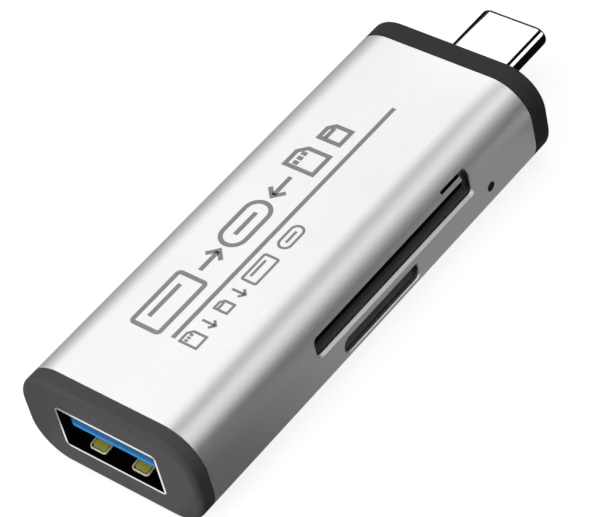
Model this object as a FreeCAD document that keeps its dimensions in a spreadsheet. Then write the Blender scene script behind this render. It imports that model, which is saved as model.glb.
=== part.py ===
import FreeCAD, Part
import math
import os
import Sketcher
from types import SimpleNamespace

# Pocket card reader: a silver extruded tube closed by two dark end caps.
# It has a wide data port in the front cap, a plug in the rear cap and two card slots on one side.
# Lengths are in millimetres.
# X runs along the tube toward the plug, the card slots face -Y and the reader lies flat on Z = 0.
# The origin is the middle of the overall length, under the tube.

SIZES = (
    # Tube
    ("body_width", 22.4, "outside width of tube and caps"),
    ("body_height", 11.6, "outside height of tube and caps"),
    ("body_corner", 4.5, "outside corner radius of tube and caps"),
    ("tube_length", 53.0, "length of the silver tube"),
    ("tube_wall", 0.5, "wall of the tube"),
    ("tube_end_bevel", 0.12, "bright cut edge at both ends of the tube"),
    ("rail_reach", 0.7, "how far a board rail stands out from the wall"),
    ("rail_height", 0.5, "height of one board rail"),
    ("rail_gap", 0.06, "play between board and rail"),
    ("slot_cut", 2.2, "depth of the milling pass that opens a slot"),
    ("lip_width", 0.25, "bright lip milled round a slot, across the face"),
    ("lip_depth", 0.34, "depth of the lip into the wall"),
    # Large card slot, placed from the middle of the tube and the middle height
    ("card_slot_offset", 3.25, "tube middle to the middle of the large card slot"),
    ("card_slot_length", 25.5, "length of the large card slot"),
    ("card_slot_low", 0.65, "middle height to the lower edge of the slot"),
    ("card_slot_height", 2.38, "height of the large card slot"),
    ("card_slot_corner", 0.55, "corner radius of the large card slot"),
    ("relief_length", 1.0, "raised notch at the far end of the slot"),
    ("relief_height", 0.8, "rise of the notch above the slot"),
    ("relief_corner", 0.4, "corner radius of the notch"),
    ("slit_length", 3.0, "narrow slit running back from the notch"),
    ("slit_height", 0.3, "height of the slit"),
    # Small card slot
    ("small_slot_offset", 0.25, "tube middle to the middle of the small card slot"),
    ("small_slot_length", 12.2, "length of the small card slot"),
    ("small_slot_low", 2.62, "middle height down to the lower edge"),
    ("small_slot_height", 2.0, "height of the small card slot"),
    ("small_slot_corner", 0.8, "corner radius of the small card slot"),
    # Activity light
    ("light_place", 7.9, "light to the rear seam"),
    ("light_drop", 0.87, "middle height down to the light"),
    ("light_hole", 1.14, "hole for the light window"),
    ("light_window", 1.1, "diameter of the light window"),
    ("light_window_depth", 0.59, "length of the light window"),
    ("light_window_inset", 0.01, "window face below the tube face"),
    # End caps
    ("front_cap_depth", 1.9, "front cap ahead of the tube"),
    ("rear_cap_depth", 2.5, "rear cap behind the tube"),
    ("front_cap_edge", 0.65, "rounded rim of the front cap"),
    ("rear_cap_edge", 0.45, "rounded rim of the rear cap"),
    ("collar_depth", 3.0, "collar of a cap inside the tube"),
    ("collar_wall", 1.0, "wall of the collar"),
    ("collar_gap", 0.1, "play between collar and tube"),
    ("collar_split", 1.25, "middle height to either half of the collar"),
    ("port_gap", 0.06, "play between cap and connector shell"),
    # Board
    ("board_height", 0.8, "thickness of the board"),
    ("board_side_gap", 0.15, "board edge to tube wall"),
    ("board_front_gap", 1.0, "front seam to the board"),
    ("board_rear_gap", 5.0, "board to the rear seam"),
    ("board_notch_gap", 0.25, "play beside the port in its notch"),
    ("board_notch_room", 0.5, "room behind the port in its notch"),
    # Wide port
    ("port_width", 12.5, "inside width of the port"),
    ("port_height", 5.12, "inside height of the port"),
    ("port_sheet", 0.3, "sheet of the port shell"),
    ("port_corner", 0.35, "inside corner radius of the port"),
    ("port_length", 13.2, "length of the port shell"),
    ("port_tab_start", 6.0, "port mouth to the solder tabs"),
    ("port_tab_length", 3.0, "length of a solder tab"),
    ("port_tab_reach", 1.3, "reach of a solder tab over the board"),
    ("tongue_width", 11.1, "width of the port tongue"),
    ("tongue_height", 1.84, "thickness of the port tongue"),
    ("tongue_drop", 0.68, "port roof to the tongue"),
    ("tongue_recess", 0.6, "port mouth to the tongue"),
    ("tongue_lead", 0.55, "lead-in bevel over the tip of the tongue"),
    ("tongue_edge", 0.1, "small bevel under the tip of the tongue"),
    ("tongue_corner", 0.35, "rounded front corners of the tongue"),
    ("block_length", 2.6, "rear block that carries the tongue"),
    ("block_gap", 0.04, "play between block and shell"),
    ("tunnel_width", 8.4, "passage for the contacts under the tongue"),
    ("contact_sheet", 0.2, "sheet of contacts and springs"),
    ("contact_width", 1.0, "width of a port contact"),
    ("contact_inner", 1.0, "port middle to the inner contact pair"),
    ("contact_outer", 3.5, "port middle to the outer contact pair"),
    ("contact_start", 3.2, "tongue tip to the contact tips"),
    ("contact_bump", 0.45, "how far a contact bends below the tongue"),
    ("contact_bump_start", 0.9, "contact tip to the lowest point of its bend"),
    ("contact_bump_end", 2.25, "contact tip to the end of its bend"),
    ("contact_riser_gap", 0.15, "bend of a contact to the board"),
    ("contact_tail", 1.2, "contact tail lying on the board"),
    ("pad_width", 0.8, "width of a front pad of the tongue"),
    ("pad_pitch", 2.0, "spacing of the five front pads"),
    ("pad_length", 2.0, "length of a front pad"),
    ("pad_height", 0.12, "thickness of a front pad"),
    ("pad_start", 0.4, "tongue tip to the front pads"),
    ("spring_width", 2.2, "width of a grip spring"),
    ("spring_offset", 2.74, "port middle to a grip spring"),
    ("spring_recess", 0.46, "port mouth to the spring tips"),
    ("spring_tip_rise", 0.56, "spring tip above the port floor"),
    ("spring_top_rise", 0.76, "highest point of the spring"),
    ("spring_top_place", 2.0, "spring tip to its highest point"),
    ("spring_foot_place", 6.6, "spring tip to the foot"),
    ("spring_foot_length", 2.0, "foot of the spring on the port floor"),
    ("spring_corner", 0.4, "rounded front corners of a spring"),
    ("spring_rim", 0.14, "frame left outside the cut of a spring"),
    ("spring_cut", 0.14, "width of the cut that frees the finger of a spring"),
    ("spring_cut_end", 1.9, "spring tip to the end of the cut"),
    ("spring_cut_corner", 0.18, "bevelled corners of the cut"),
    # Plug
    ("plug_reach", 10.0, "plug ahead of the rear cap"),
    ("plug_width", 8.25, "outside width of the plug"),
    ("plug_height", 2.4, "outside height of the plug"),
    ("plug_sheet", 0.3, "sheet of the plug shell"),
    ("plug_lip", 0.6, "rolled lip at the plug mouth"),
    ("plug_round", 0.5, "outside rounding of the plug mouth"),
    ("plug_inside", 4.5, "plug shell inside the rear cap"),
    ("plug_core_gap", 0.03, "play between plug shell and core"),
    ("plug_core_tail", 1.5, "core behind the plug shell"),
    ("plug_slot_width", 6.9, "slot in the plug core"),
    ("plug_contact_width", 0.26, "width of a plug contact"),
    ("plug_contact_pitch", 0.5, "spacing of the plug contacts"),
    ("plug_contact_sheet", 0.12, "sheet of the plug contacts"),
    ("plug_contact_recess", 1.4, "plug mouth to the contact tips"),
    ("plug_contact_tail", 1.1, "plug contacts lying on the board"),
    ("latch_sheet", 0.2, "sheet of the plug latches"),
    ("latch_height", 0.5, "height of a plug latch"),
    ("latch_length", 6.0, "length of a plug latch"),
    ("latch_hook", 0.3, "hook of a plug latch"),
    ("latch_recess", 1.2, "plug mouth to the latch hook"),
    # Large card socket
    ("socket_sheet", 0.2, "sheet of both socket covers"),
    ("socket_side", 1.1, "side wall of the large socket"),
    ("socket_front_gap", 0.6, "tube wall to the large socket"),
    ("socket_rear_gap", 2.3, "large socket to the tube wall behind it"),
    ("socket_floor", 0.3, "floor of the large socket"),
    ("socket_sill", 0.5, "floor of the large socket ahead of its cover"),
    ("socket_back", 1.2, "rear wall of the large socket"),
    ("socket_room", 2.3, "height left for the large card"),
    ("socket_window_width", 7.0, "stamped window of the cover"),
    ("socket_window_depth", 4.0, "stamped window of the cover"),
    ("socket_window_gap", 3.0, "socket middle to a stamped window"),
    ("socket_contact_width", 1.2, "width of a large socket contact"),
    ("socket_contact_pitch", 2.5, "spacing of the large socket contacts"),
    ("socket_contact_start", 2.1, "slot end to the first contact"),
    ("socket_contact_length", 6.0, "length of a large socket contact"),
    ("socket_contact_crest", 4.5, "contact foot to its highest point"),
    ("socket_contact_rise", 0.6, "spring height of the contacts"),
    # Small card socket
    ("small_side", 0.7, "side of the small socket beside its slot"),
    ("small_front_gap", 0.85, "tube wall to the small socket"),
    ("small_depth", 14.0, "depth of the small socket"),
    ("small_base", 0.22, "base plate of the small socket"),
    ("small_room", 1.4, "height left for the small card"),
    ("small_guide_drop", 0.58, "lead-in ramp of the small socket, floor to the foot of the ramp"),
    ("small_guide_foot", 0.1, "upright foot of the lead-in ramp"),
    ("small_guide_gap", 0.1, "tube wall to the lead-in ramp"),
    ("small_guide_reach", 1.2, "lead-in ramp carried back under the cover"),
    ("small_window_width", 6.0, "stamped window of the small cover"),
    ("small_window_depth", 3.0, "stamped window of the small cover"),
    ("small_contact_width", 0.6, "width of a small socket contact"),
    ("small_contact_pitch", 1.1, "spacing of the small socket contacts"),
    ("small_contact_start", 2.25, "slot end to the first contact"),
    ("small_contact_length", 5.0, "length of a small socket contact"),
    ("small_contact_crest", 3.75, "contact foot to its lowest point"),
    ("small_contact_rise", 0.5, "spring height of the contacts"),
    # Parts under the board
    ("chip_side", 6.0, "side of the square reader chip"),
    ("chip_height", 0.85, "height of the reader chip"),
    ("chip_gap", 0.5, "small socket to the reader chip"),
    ("chip_offset", 2.5, "board middle to the reader chip"),
    ("switch_length", 2.9, "length of the power switch"),
    ("switch_width", 1.6, "width of the power switch"),
    ("switch_height", 1.1, "height of the power switch"),
    ("switch_gap", 2.5, "power switch to the small socket"),
    ("crystal_length", 3.2, "length of the clock crystal"),
    ("crystal_width", 2.5, "width of the clock crystal"),
    ("crystal_height", 0.7, "height of the clock crystal"),
    ("crystal_offset", 4.2, "board middle to the clock crystal"),
    ("lamp_length", 1.6, "length of the light source"),
    ("lamp_width", 0.8, "width of the light source"),
    ("lamp_height", 0.8, "height of the light source"),
    ("lamp_edge", 0.65, "board edge to the light source"),
    ("passive_length", 1.0, "length of a capacitor or resistor"),
    ("passive_width", 0.5, "width of a capacitor or resistor"),
    ("capacitor_height", 0.5, "height of a capacitor"),
    ("resistor_height", 0.35, "height of a resistor"),
    ("passive_pitch", 1.5, "spacing of capacitors and resistors"),
    ("passive_place", 3.6, "row of capacitors to the end of the board"),
    ("passive_offset", 3.4, "board middle to the first of a row"),
)

CONTACTS_IN_PLUG_ROW = 12
CONTACTS_IN_LARGE_SOCKET = 9
CONTACTS_IN_SMALL_SOCKET = 8
PADS_UNDER_TONGUE = 5
PASSIVES_IN_ROW = 6
QUARTER_TURN = math.pi / 2
TOUCH = 1e-4


class Size:
    """A length with its formula, so that shapes stay bound to the sheet of sizes."""

    def __init__(self, value, text):
        self.value = value
        self.text = text

    def __add__(self, other):
        other = as_size(other)
        return Size(self.value + other.value, f"({self.text} + {other.text})")

    def __sub__(self, other):
        other = as_size(other)
        return Size(self.value - other.value, f"({self.text} - {other.text})")

    def __mul__(self, number):
        return Size(self.value * number, f"({self.text} * {number})")

    def __truediv__(self, number):
        return Size(self.value / number, f"({self.text} / {number})")

    def __neg__(self):
        return Size(-self.value, f"(-1 * {self.text})")


def as_size(number):
    if isinstance(number, Size):
        return number
    return Size(float(number), str(float(number)))


def third_side(longest, side):
    """The other short side of a right triangle."""
    value = math.sqrt(longest.value ** 2 - side.value ** 2)
    return Size(value, f"sqrt({longest.text} ^ 2 - {side.text} ^ 2)")


doc = FreeCAD.newDocument("card_reader")
sheet = doc.addObject("Spreadsheet::Sheet", "sizes")
for row, (alias, value, meaning) in enumerate(SIZES, 1):
    sheet.set(f"A{row}", alias)
    sheet.set(f"B{row}", str(value))
    sheet.setAlias(f"B{row}", alias)
    sheet.set(f"C{row}", meaning)
doc.recompute()
s = SimpleNamespace(**{alias: Size(value, f"sizes.{alias}") for alias, value, meaning in SIZES})


def new_body(name):
    body = doc.addObject("PartDesign::Body", name)
    body.AllowCompound = True
    return body


def origin_part(body, role):
    return next(part for part in body.Origin.OriginFeatures if part.Role == role)


def bind(target, path, length):
    target.setExpression(path, as_size(length).text)


def new_sketch(body, role, offset):
    """A sketch parallel to one origin plane of its body, moved along the plane's normal."""
    sketch = body.newObject("Sketcher::SketchObject", f"{body.Name}_sketch")
    sketch.AttachmentSupport = [(origin_part(body, role), "")]
    sketch.MapMode = "FlatFace"
    bind(sketch, "AttachmentOffset.Base.z", offset)
    return sketch


def across(body, x):
    """Sketch plane across the tube: sketch axes are Y and Z, the normal is +X."""
    return new_sketch(body, "YZ_Plane", x)


def along(body, y):
    """Sketch plane along the tube: sketch axes are X and Z, the normal is -Y."""
    return new_sketch(body, "XZ_Plane", -as_size(y))


def level(body, z):
    """Level sketch plane: sketch axes are X and Y, the normal is +Z."""
    return new_sketch(body, "XY_Plane", z)


def limit(sketch, kind, geometry, point, length):
    length = as_size(length)
    if kind == "Radius":
        constraint = Sketcher.Constraint(kind, geometry, length.value)
    else:
        constraint = Sketcher.Constraint(kind, -1, 1, geometry, point, length.value)
    index = sketch.addConstraint(constraint)
    bind(sketch, f"Constraints[{index}]", length)


def place(sketch, geometry, point, spot):
    limit(sketch, "DistanceX", geometry, point, spot[0])
    limit(sketch, "DistanceY", geometry, point, spot[1])


def vector(spot):
    return FreeCAD.Vector(as_size(spot[0]).value, as_size(spot[1]).value, 0)


def outline(sketch, spots):
    """A closed outline of straight lines through the given spots."""
    first = sketch.GeometryCount
    count = len(spots)
    for number in range(count):
        here = vector(spots[number])
        there = vector(spots[(number + 1) % count])
        sketch.addGeometry(Part.LineSegment(here, there))
    for number in range(count):
        following = first + (number + 1) % count
        sketch.addConstraint(Sketcher.Constraint("Coincident", first + number, 2, following, 1))
    for number in range(count):
        place(sketch, first + number, 1, spots[number])


def box(sketch, left, right, low, high):
    outline(sketch, ((left, low), (right, low), (right, high), (left, high)))


def arc(sketch, centre, radius, start, end):
    circle = Part.Circle(vector(centre), FreeCAD.Vector(0, 0, 1), as_size(radius).value)
    return sketch.addGeometry(Part.ArcOfCircle(circle, start, end))


def join_arcs(sketch, arcs):
    """Tangent lines from the end of each arc to the start of the next."""
    count = len(arcs)
    for number in range(count):
        following = arcs[(number + 1) % count]
        here = sketch.getPoint(arcs[number], 2)
        there = sketch.getPoint(following, 1)
        line = sketch.addGeometry(Part.LineSegment(here, there))
        sketch.addConstraint(Sketcher.Constraint("Tangent", arcs[number], 2, line, 1))
        sketch.addConstraint(Sketcher.Constraint("Tangent", line, 2, following, 1))


def rounded_box(sketch, left, right, low, high, radius):
    left, right = as_size(left), as_size(right)
    low, high = as_size(low), as_size(high)
    centres = (
        (right - radius, high - radius),
        (left + radius, high - radius),
        (left + radius, low + radius),
        (right - radius, low + radius),
    )
    arcs = []
    for number, centre in enumerate(centres):
        arcs.append(arc(sketch, centre, radius, number * QUARTER_TURN, (number + 1) * QUARTER_TURN))
    for geometry, centre in zip(arcs, centres):
        place(sketch, geometry, 3, centre)
        limit(sketch, "Radius", geometry, 0, radius)
    join_arcs(sketch, arcs)


def stadium(sketch, left, right, low, high):
    """Two half circles joined by level lines."""
    left, right = as_size(left), as_size(right)
    low, high = as_size(low), as_size(high)
    radius = (high - low) / 2
    middle = (high + low) / 2
    centres = ((right - radius, middle), (left + radius, middle))
    arcs = [
        arc(sketch, centres[0], radius, -QUARTER_TURN, QUARTER_TURN),
        arc(sketch, centres[1], radius, QUARTER_TURN, 3 * QUARTER_TURN),
    ]
    for geometry, centre in zip(arcs, centres):
        place(sketch, geometry, 3, centre)
        limit(sketch, "Radius", geometry, 0, radius)
    join_arcs(sketch, arcs)


def disc(sketch, centre, diameter):
    radius = as_size(diameter) / 2
    circle = sketch.addGeometry(Part.Circle(vector(centre), FreeCAD.Vector(0, 0, 1), radius.value))
    place(sketch, circle, 3, centre)
    limit(sketch, "Radius", circle, 0, radius)


def pad(body, sketch, length, reverse=False):
    feature = body.newObject("PartDesign::Pad", f"{body.Name}_pad")
    feature.Profile = sketch
    feature.Length = as_size(length).value
    bind(feature, "Length", length)
    feature.Reversed = reverse
    return feature


def pocket(body, sketch, length, reverse=False):
    feature = body.newObject("PartDesign::Pocket", f"{body.Name}_pocket")
    feature.Profile = sketch
    feature.Length = as_size(length).value
    bind(feature, "Length", length)
    feature.Reversed = reverse
    doc.recompute()
    if abs(feature.Shape.Volume - feature.BaseFeature.Shape.Volume) < TOUCH:
        raise RuntimeError(f"{body.Name}: a pocket cut nothing")
    return feature


def flare(body, sketch, depth, width):
    """A pocket whose walls lean in by the given width over its depth."""
    feature = pocket(body, sketch, depth)
    feature.TaperAngle = -math.degrees(math.atan2(width.value, depth.value))
    feature.setExpression("TaperAngle", f"-atan({width.text} / {depth.text})")
    doc.recompute()
    return feature


def row_of(body, feature, role, count, pitch):
    pattern = body.newObject("PartDesign::LinearPattern", f"{body.Name}_row")
    pattern.Originals = [feature]
    pattern.Direction = (origin_part(body, role), [""])
    pattern.Occurrences = count
    pattern.Length = (as_size(pitch) * (count - 1)).value
    bind(pattern, "Length", as_size(pitch) * (count - 1))
    body.Tip = pattern
    return pattern


def edges_across(shape, x):
    """Names of the edges that lie in the plane at x."""
    names = []
    for number, edge in enumerate(shape.Edges, 1):
        bounds = edge.BoundBox
        if abs(bounds.XMin - x.value) < TOUCH and abs(bounds.XMax - x.value) < TOUCH:
            names.append(f"Edge{number}")
    return names


def upright_edges(shape, x):
    """Names of the edges in the plane at x that stand upright."""
    names = []
    for name in edges_across(shape, x):
        bounds = shape.getElement(name).BoundBox
        if bounds.YLength < TOUCH:
            names.append(name)
    return names


def round_edges(body, x, radius, choose=edges_across):
    doc.recompute()
    tip = body.Tip
    feature = body.newObject("PartDesign::Fillet", f"{body.Name}_rim")
    feature.Base = (tip, choose(tip.Shape, x))
    feature.Radius = as_size(radius).value
    bind(feature, "Radius", radius)
    return feature


def bevel_edges(body, x, width):
    doc.recompute()
    tip = body.Tip
    feature = body.newObject("PartDesign::Chamfer", f"{body.Name}_bevel")
    feature.Base = (tip, edges_across(tip.Shape, x))
    feature.Size = as_size(width).value
    bind(feature, "Size", width)
    return feature


# Places along the reader
overall = s.front_cap_depth + s.tube_length + s.rear_cap_depth + s.plug_reach
front_face = -overall / 2
front_seam = front_face + s.front_cap_depth
rear_seam = front_seam + s.tube_length
rear_face = rear_seam + s.rear_cap_depth
plug_tip = rear_face + s.plug_reach

# Places across the reader
half_width = s.body_width / 2
wall_face = half_width - s.tube_wall
middle = s.body_height / 2
board_top = middle + s.board_height / 2
board_low = middle - s.board_height / 2
board_edge = wall_face - s.board_side_gap

# Silver tube
tube = new_body("shell_tube")
sketch = across(tube, front_seam)
rounded_box(sketch, -half_width, half_width, 0, s.body_height, s.body_corner)
pad(tube, sketch, s.tube_length)
bevel_edges(tube, front_seam, s.tube_end_bevel)
bevel_edges(tube, rear_seam, s.tube_end_bevel)
sketch = across(tube, rear_seam)
rounded_box(
    sketch, -wall_face, wall_face, s.tube_wall, s.body_height - s.tube_wall,
    s.body_corner - s.tube_wall,
)
pocket(tube, sketch, s.tube_length)
rail_root = wall_face + s.tube_wall / 2
rail_tip = wall_face - s.rail_reach
upper_rail = board_top + s.rail_gap
lower_rail = board_low - s.rail_gap
sketch = across(tube, front_seam + s.tube_end_bevel * 2)
box(sketch, rail_tip, rail_root, upper_rail, upper_rail + s.rail_height)
box(sketch, rail_tip, rail_root, lower_rail - s.rail_height, lower_rail)
box(sketch, -rail_root, -rail_tip, lower_rail - s.rail_height, lower_rail)
pad(tube, sketch, s.tube_length - s.tube_end_bevel * 4)

# Card slots milled from the -Y side
tube_middle = (front_seam + rear_seam) / 2
slot_start = tube_middle + s.card_slot_offset - s.card_slot_length / 2
slot_end = slot_start + s.card_slot_length
slot_low = middle + s.card_slot_low
slot_high = slot_low + s.card_slot_height
sketch = along(tube, -half_width)
rounded_box(sketch, slot_start, slot_end, slot_low, slot_high, s.card_slot_corner)
pocket(tube, sketch, s.slot_cut)
relief_start = slot_end - s.relief_length
relief_top = slot_high + s.relief_height
slot_middle = (slot_low + slot_high) / 2
sketch = along(tube, -half_width)
rounded_box(sketch, relief_start, slot_end, slot_middle, relief_top, s.relief_corner)
pocket(tube, sketch, s.slot_cut)
sketch = along(tube, -half_width)
box(
    sketch, relief_start - s.slit_length, relief_start + s.relief_corner,
    relief_top - s.slit_height, relief_top,
)
pocket(tube, sketch, s.slot_cut)
small_start = tube_middle + s.small_slot_offset - s.small_slot_length / 2
small_end = small_start + s.small_slot_length
small_low = middle - s.small_slot_low
sketch = along(tube, -half_width)
rounded_box(
    sketch, small_start, small_end, small_low, small_low + s.small_slot_height,
    s.small_slot_corner,
)
pocket(tube, sketch, s.slot_cut)

# A lip that leans in round each slot
for left, right, low, high, corner in (
    (slot_start, slot_end, slot_low, slot_high, s.card_slot_corner),
    (small_start, small_end, small_low, small_low + s.small_slot_height, s.small_slot_corner),
):
    sketch = along(tube, -half_width)
    rounded_box(
        sketch, left - s.lip_width, right + s.lip_width, low - s.lip_width, high + s.lip_width,
        corner + s.lip_width,
    )
    flare(tube, sketch, s.lip_depth, s.lip_width)

# Hole for the light
light_spot = (rear_seam - s.light_place, middle - s.light_drop)
sketch = along(tube, -half_width)
disc(sketch, light_spot, s.light_hole)
pocket(tube, sketch, s.slot_cut)

# End caps: a plate with a rounded rim and a split collar that grips inside the tube
collar_out = wall_face - s.collar_gap
collar_in = collar_out - s.collar_wall
collar_out_rise = middle - s.tube_wall - s.collar_gap
collar_in_rise = collar_out_rise - s.collar_wall
collar_out_round = s.body_corner - s.tube_wall - s.collar_gap
collar_in_round = collar_out_round - s.collar_wall


def end_cap(name, seam, outer_face, depth, rim, inward):
    """One end cap; inward says on which side of the seam the collar lies."""
    cap = new_body(name)
    collar_sketch = across(cap, seam)
    rounded_box(
        collar_sketch, -collar_out, collar_out, middle - collar_out_rise, middle + collar_out_rise,
        collar_out_round,
    )
    rounded_box(
        collar_sketch, -collar_in, collar_in, middle - collar_in_rise, middle + collar_in_rise,
        collar_in_round,
    )
    plate_sketch = across(cap, seam)
    rounded_box(plate_sketch, -half_width, half_width, 0, s.body_height, s.body_corner)
    pad(cap, plate_sketch, depth, reverse=inward)
    round_edges(cap, outer_face, rim)
    pad(cap, collar_sketch, s.collar_depth, reverse=not inward)
    split_sketch = across(cap, seam)
    box(split_sketch, -half_width, half_width, middle - s.collar_split, middle + s.collar_split)
    pocket(cap, split_sketch, s.collar_depth, reverse=inward)
    return cap


front_cap = end_cap(
    "front_end_cap", front_seam, front_face, s.front_cap_depth, s.front_cap_edge, True,
)
port_half = s.port_width / 2 + s.port_sheet
port_rise = s.port_height / 2 + s.port_sheet
port_round = s.port_corner + s.port_sheet
sketch = across(front_cap, front_seam)
rounded_box(
    sketch, -port_half - s.port_gap, port_half + s.port_gap,
    middle - port_rise - s.port_gap, middle + port_rise + s.port_gap, port_round + s.port_gap,
)
pocket(front_cap, sketch, s.front_cap_depth)

rear_cap = end_cap(
    "rear_end_cap", rear_seam, rear_face, s.rear_cap_depth, s.rear_cap_edge, False,
)
plug_half = s.plug_width / 2
plug_rise = s.plug_height / 2
sketch = across(rear_cap, rear_face)
stadium(
    sketch, -plug_half - s.port_gap, plug_half + s.port_gap,
    middle - plug_rise - s.port_gap, middle + plug_rise + s.port_gap,
)
pocket(rear_cap, sketch, s.rear_cap_depth)

# Board with a notch for the wide port
board = new_body("main_board")
board_start = front_seam + s.board_front_gap
board_end = rear_seam - s.board_rear_gap
port_rear = front_face + s.port_length
notch_end = port_rear + s.board_notch_room
notch_half = port_half + s.board_notch_gap
sketch = level(board, board_low)
outline(sketch, (
    (board_start, -board_edge),
    (board_end, -board_edge),
    (board_end, board_edge),
    (board_start, board_edge),
    (board_start, notch_half),
    (notch_end, notch_half),
    (notch_end, -notch_half),
    (board_start, -notch_half),
))
pad(board, sketch, s.board_height)

# Steel shell of the wide port with two solder tabs on the board
port_shell = new_body("port_shell")
sketch = across(port_shell, front_face)
rounded_box(sketch, -port_half, port_half, middle - port_rise, middle + port_rise, port_round)
rounded_box(
    sketch, -s.port_width / 2, s.port_width / 2,
    middle - s.port_height / 2, middle + s.port_height / 2, s.port_corner,
)
pad(port_shell, sketch, s.port_length)
tab_start = front_face + s.port_tab_start
tab_end = tab_start + s.port_tab_length
tab_root = port_half - s.port_sheet / 2
sketch = level(port_shell, board_top)
box(sketch, tab_start, tab_end, tab_root, port_half + s.port_tab_reach)
box(sketch, tab_start, tab_end, -port_half - s.port_tab_reach, -tab_root)
pad(port_shell, sketch, s.port_sheet)

# Blue tongue of the wide port and the block that carries it
port_tongue = new_body("port_tongue")
block_half = s.port_width / 2 - s.block_gap
block_rise = s.port_height / 2 - s.block_gap
block_front = port_rear - s.block_length
tongue_tip = front_face + s.tongue_recess
tongue_top = middle + s.port_height / 2 - s.tongue_drop
tongue_low = tongue_top - s.tongue_height
sketch = across(port_tongue, block_front)
rounded_box(
    sketch, -block_half, block_half, middle - block_rise, middle + block_rise, s.port_corner,
)
pad(port_tongue, sketch, s.block_length)
sketch = along(port_tongue, s.tongue_width / 2)
outline(sketch, (
    (block_front, tongue_low),
    (tongue_tip + s.tongue_edge, tongue_low),
    (tongue_tip, tongue_low + s.tongue_edge),
    (tongue_tip, tongue_top - s.tongue_lead),
    (tongue_tip + s.tongue_lead, tongue_top),
    (block_front, tongue_top),
))
pad(port_tongue, sketch, s.tongue_width)
round_edges(port_tongue, tongue_tip, s.tongue_corner, upright_edges)
sketch = across(port_tongue, port_rear)
box(
    sketch, -s.tunnel_width / 2, s.tunnel_width / 2,
    tongue_low - s.contact_sheet, tongue_low,
)
pocket(port_tongue, sketch, s.block_length)

# Four sprung contacts under the tongue, bent up onto the board behind it
port_contacts = new_body("port_contacts")
tip = tongue_tip + s.contact_start
riser = notch_end - s.contact_riser_gap
tail = riser + s.contact_tail
sheet_low = tongue_low - s.contact_sheet
contact_side = (
    (tip, tongue_low - s.contact_sheet / 4),
    (tip + s.contact_bump_start, tongue_low - s.contact_bump),
    (tip + s.contact_bump_end, tongue_low),
    (riser - s.contact_sheet, tongue_low),
    (riser - s.contact_sheet, board_top + s.contact_sheet),
    (tail, board_top + s.contact_sheet),
    (tail, board_top),
    (riser, board_top),
    (riser, sheet_low),
    (tip + s.contact_bump_end, sheet_low),
    (tip + s.contact_bump_start, sheet_low - s.contact_bump),
    (tip, sheet_low - s.contact_sheet / 4),
)
for offset in (-s.contact_outer, -s.contact_inner, s.contact_inner, s.contact_outer):
    sketch = along(port_contacts, offset + s.contact_width / 2)
    outline(sketch, contact_side)
    pad(port_contacts, sketch, s.contact_width)

# Five flat pads under the tip of the tongue
port_pads = new_body("port_pads")
pad_tip = tongue_tip + s.pad_start
first_pad = -s.pad_pitch * (PADS_UNDER_TONGUE - 1) / 2 - s.pad_width / 2
sketch = level(port_pads, tongue_low - s.pad_height)
box(sketch, pad_tip, pad_tip + s.pad_length, first_pad, first_pad + s.pad_width)
flat_pad = pad(port_pads, sketch, s.pad_height)
row_of(port_pads, flat_pad, "Y_Axis", PADS_UNDER_TONGUE, s.pad_pitch)

# Two gold grip springs on the floor of the port
grip_springs = new_body("grip_springs")
port_floor = middle - s.port_height / 2
spring_tip = front_face + s.spring_recess
foot = spring_tip + s.spring_foot_place
spring_side = (
    (spring_tip, port_floor + s.spring_tip_rise),
    (spring_tip + s.spring_top_place, port_floor + s.spring_top_rise),
    (foot, port_floor + s.contact_sheet),
    (foot + s.spring_foot_length, port_floor + s.contact_sheet),
    (foot + s.spring_foot_length, port_floor),
    (foot, port_floor),
    (spring_tip + s.spring_top_place, port_floor + s.spring_top_rise - s.contact_sheet),
    (spring_tip, port_floor + s.spring_tip_rise - s.contact_sheet),
)
for offset in (-s.spring_offset, s.spring_offset):
    sketch = along(grip_springs, offset + s.spring_width / 2)
    outline(sketch, spring_side)
    pad(grip_springs, sketch, s.spring_width)
round_edges(grip_springs, spring_tip, s.spring_corner, upright_edges)
cut_outer = s.spring_width / 2 - s.spring_rim
cut_inner = cut_outer - s.spring_cut
cut_front = spring_tip + s.spring_rim
finger_tip = cut_front + s.spring_cut
cut_end = spring_tip + s.spring_cut_end
sketch = level(grip_springs, port_floor + s.spring_top_rise)
for offset in (-s.spring_offset, s.spring_offset):
    outline(sketch, (
        (cut_end, offset + cut_outer),
        (cut_front + s.spring_cut_corner, offset + cut_outer),
        (cut_front, offset + cut_outer - s.spring_cut_corner),
        (cut_front, offset - cut_outer + s.spring_cut_corner),
        (cut_front + s.spring_cut_corner, offset - cut_outer),
        (cut_end, offset - cut_outer),
        (cut_end, offset - cut_inner),
        (finger_tip + s.spring_cut_corner, offset - cut_inner),
        (finger_tip, offset - cut_inner + s.spring_cut_corner),
        (finger_tip, offset + cut_inner - s.spring_cut_corner),
        (finger_tip + s.spring_cut_corner, offset + cut_inner),
        (cut_end, offset + cut_inner),
    ))
pocket(grip_springs, sketch, s.spring_top_rise)

# Plug shell with a rolled lip round its mouth
plug_shell = new_body("plug_shell")
plug_rear = rear_face - s.plug_inside
plug_length = s.plug_reach + s.plug_inside
sketch = across(plug_shell, plug_rear)
stadium(sketch, -plug_half, plug_half, middle - plug_rise, middle + plug_rise)
pad(plug_shell, sketch, plug_length)
round_edges(plug_shell, plug_tip, s.plug_round)
bore_half = plug_half - s.plug_sheet
bore_rise = plug_rise - s.plug_sheet
sketch = across(plug_shell, plug_rear)
stadium(sketch, -bore_half, bore_half, middle - bore_rise, middle + bore_rise)
pocket(plug_shell, sketch, plug_length - s.plug_lip, reverse=True)
mouth_half = plug_half - s.plug_lip
mouth_rise = plug_rise - s.plug_lip
sketch = across(plug_shell, plug_tip)
stadium(sketch, -mouth_half, mouth_half, middle - mouth_rise, middle + mouth_rise)
pocket(plug_shell, sketch, s.plug_lip * 2)

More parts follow.
